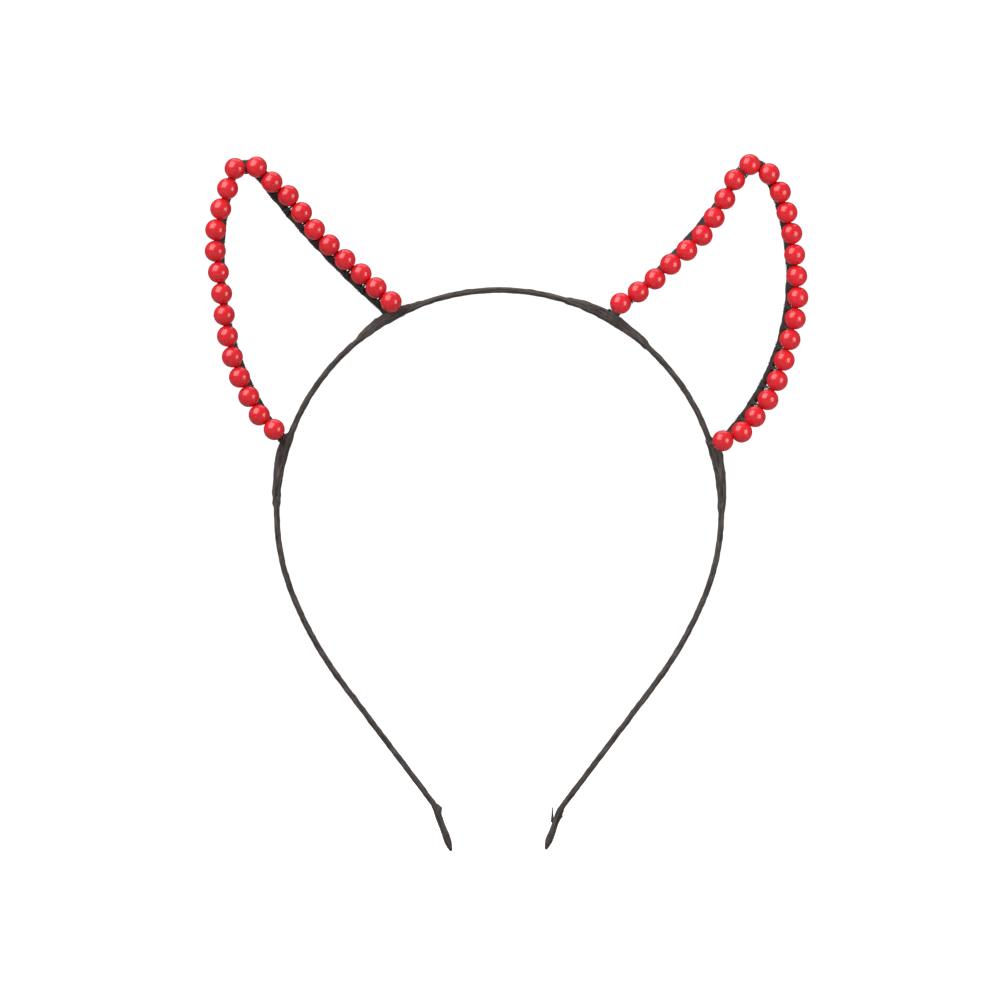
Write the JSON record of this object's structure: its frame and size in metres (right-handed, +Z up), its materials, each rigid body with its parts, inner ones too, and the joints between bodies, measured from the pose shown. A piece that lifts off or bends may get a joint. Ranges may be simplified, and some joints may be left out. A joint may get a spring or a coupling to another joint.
{
  "type": "headband",
  "caption": "Narrow tape-wrapped spring headband with two upright pointed ears of bent wire, edged with round glossy beads.",
  "frame": {"origin": "centre of the band's round crown arc, in the middle of the band's depth", "axes": "+Z up towards the top of the head, +X to the right as seen from the front, the beaded front faces -Y"},
  "size_m": [0.1709, 0.0116, 0.1975],
  "materials": {
    "steel": "drawn, bare under the tape",
    "tape": "matt creased black floral tape",
    "bead": "glossy moulded plastic",
    "thread": "matt twisted thread"
  },
  "bodies": {
    "crown": {"strip_crown": "steel", "crown_wrap": "tape"},
    "left_side": {"strip_left_side": "steel", "left_inner_binding": "tape", "left_inner_foot_wire": "steel", "left_lower_wrap": "tape", "left_outer_binding": "tape", "left_outer_foot_wire": "steel", "left_temple_wrap": "tape", "left_upper_wrap": "tape"},
    "left_leg": {"strip_left_leg": "steel", "left_leg_wrap": "tape", "left_tip_cap": "tape"},
    "left_ear": {"left_bead_thread": "thread", "left_beads_01": "bead", "left_beads_02": "bead", "left_beads_03": "bead", "left_beads_04": "bead", "left_beads_05": "bead", "left_beads_06": "bead", "left_beads_07": "bead", "left_beads_08": "bead", "left_beads_09": "bead", "left_beads_10": "bead", "left_beads_11": "bead", "left_beads_12": "bead", "left_ear_wire": "steel", "left_ear_wrap": "tape", "left_ties": "thread"},
    "right_side": {"strip_right_side": "steel", "right_inner_binding": "tape", "right_inner_foot_wire": "steel", "right_lower_wrap": "tape", "right_outer_binding": "tape", "right_outer_foot_wire": "steel", "right_temple_wrap": "tape", "right_upper_wrap": "tape"},
    "right_leg": {"strip_right_leg": "steel", "right_leg_wrap": "tape", "right_tip_cap": "tape"},
    "right_ear": {"right_bead_thread": "thread", "right_beads_01": "bead", "right_beads_02": "bead", "right_beads_03": "bead", "right_beads_04": "bead", "right_beads_05": "bead", "right_beads_06": "bead", "right_beads_07": "bead", "right_beads_08": "bead", "right_beads_09": "bead", "right_beads_10": "bead", "right_beads_11": "bead", "right_beads_12": "bead", "right_ear_wire": "steel", "right_ear_wrap": "tape", "right_ties": "thread"}
  },
  "joints": [
    {"name": "left_side_flex", "type": "hinge", "parent": "crown", "child": "left_side", "pos_m": [-0.01417, 0, 0.06139], "axis": [0, 1, 0], "range_deg": [-2, 12], "stiffness_Nm_per_rad": 0.8},
    {"name": "left_leg_flex", "type": "hinge", "parent": "left_side", "child": "left_leg", "pos_m": [-0.06276, 0, -0.00549], "axis": [0, 1, 0], "range_deg": [-2, 12], "stiffness_Nm_per_rad": 0.46},
    {"name": "right_side_flex", "type": "hinge", "parent": "crown", "child": "right_side", "pos_m": [0.01417, 0, 0.06139], "axis": [0, -1, 0], "range_deg": [-2, 12], "stiffness_Nm_per_rad": 0.8},
    {"name": "right_leg_flex", "type": "hinge", "parent": "right_side", "child": "right_leg", "pos_m": [0.06276, 0, -0.00549], "axis": [0, -1, 0], "range_deg": [-2, 12], "stiffness_Nm_per_rad": 0.46},
    {"name": "left_ear_tilt", "type": "hinge", "parent": "left_side", "child": "left_ear", "pos_m": [-0.04804, 0, 0.0404], "axis": [0.6383, 0, 0.7698], "range_deg": [-15, 15]},
    {"name": "right_ear_tilt", "type": "hinge", "parent": "right_side", "child": "right_ear", "pos_m": [0.04891, 0, 0.03921], "axis": [0.6223, 0, -0.7827], "range_deg": [-15, 15]}
  ],
  "couplings": [
    {"joint": "left_leg_flex", "follows": "left_side_flex", "ratio": 1},
    {"joint": "right_leg_flex", "follows": "right_side_flex", "ratio": 1}
  ]
}
